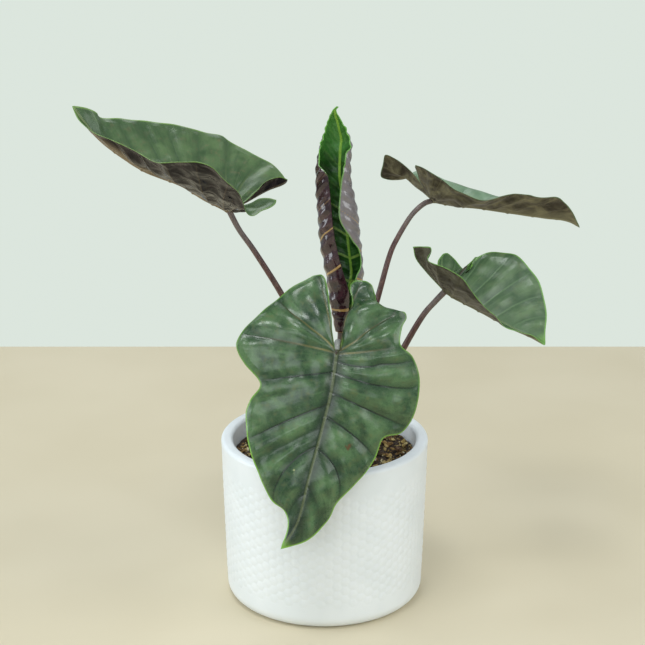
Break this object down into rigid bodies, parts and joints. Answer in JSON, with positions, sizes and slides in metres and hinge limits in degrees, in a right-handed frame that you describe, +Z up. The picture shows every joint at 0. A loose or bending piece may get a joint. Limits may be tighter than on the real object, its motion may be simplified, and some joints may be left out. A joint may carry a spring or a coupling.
{
  "type": "potted alocasia",
  "caption": "Young elephant-ear plant with dark arrow-shaped leaves on slim stalks and one still rolled, in a round white honeycomb-textured pot.",
  "frame": {"origin": "centre of the pot's flat underside, which stands on the surface", "axes": "+Z up; the front leaf hangs over the rim on the -Y side, the long left leaf points to -X and the two right leaves to +X"},
  "size_m": [0.3125, 0.1781, 0.3143],
  "materials": {
    "pot_glaze": "satin white glaze over a low honeycomb relief",
    "soil_mix": "loose bark and coir mix",
    "chunk_bark": "rough bark",
    "chunk_pumice": "porous pale stone",
    "crown_skin": "fibrous stem base",
    "petiole_skin": "smooth satin stalk, brown-purple",
    "blade_skin": "waxy satin leaf, dark green above, purple-brown below, pale edge",
    "young_blade_skin": "glossy young leaf, purple-brown outside, bright green inside"
  },
  "bodies": {
    "root": {"pot": "pot_glaze", "soil": "soil_mix", "crown": "crown_skin", "petiole_front": "petiole_skin", "petiole_left": "petiole_skin", "petiole_upper": "petiole_skin", "petiole_lower": "petiole_skin", "petiole_new": "petiole_skin", "blade_front": "blade_skin", "blade_left": "blade_skin", "blade_upper": "blade_skin", "blade_lower": "blade_skin", "blade_new": "young_blade_skin", "chunk_01": "chunk_bark", "chunk_02": "chunk_bark", "chunk_03": "chunk_bark", "chunk_04": "chunk_bark", "chunk_05": "chunk_pumice", "chunk_06": "chunk_bark", "chunk_07": "chunk_bark", "chunk_08": "chunk_bark", "chunk_09": "chunk_bark", "chunk_10": "chunk_pumice", "chunk_11": "chunk_bark", "chunk_12": "chunk_bark", "chunk_13": "chunk_bark", "chunk_14": "chunk_bark", "chunk_15": "chunk_pumice", "chunk_16": "chunk_bark", "chunk_17": "chunk_bark", "chunk_18": "chunk_bark", "chunk_19": "chunk_bark", "chunk_20": "chunk_pumice", "chunk_21": "chunk_bark", "chunk_22": "chunk_bark"}
  },
  "joints": []
}
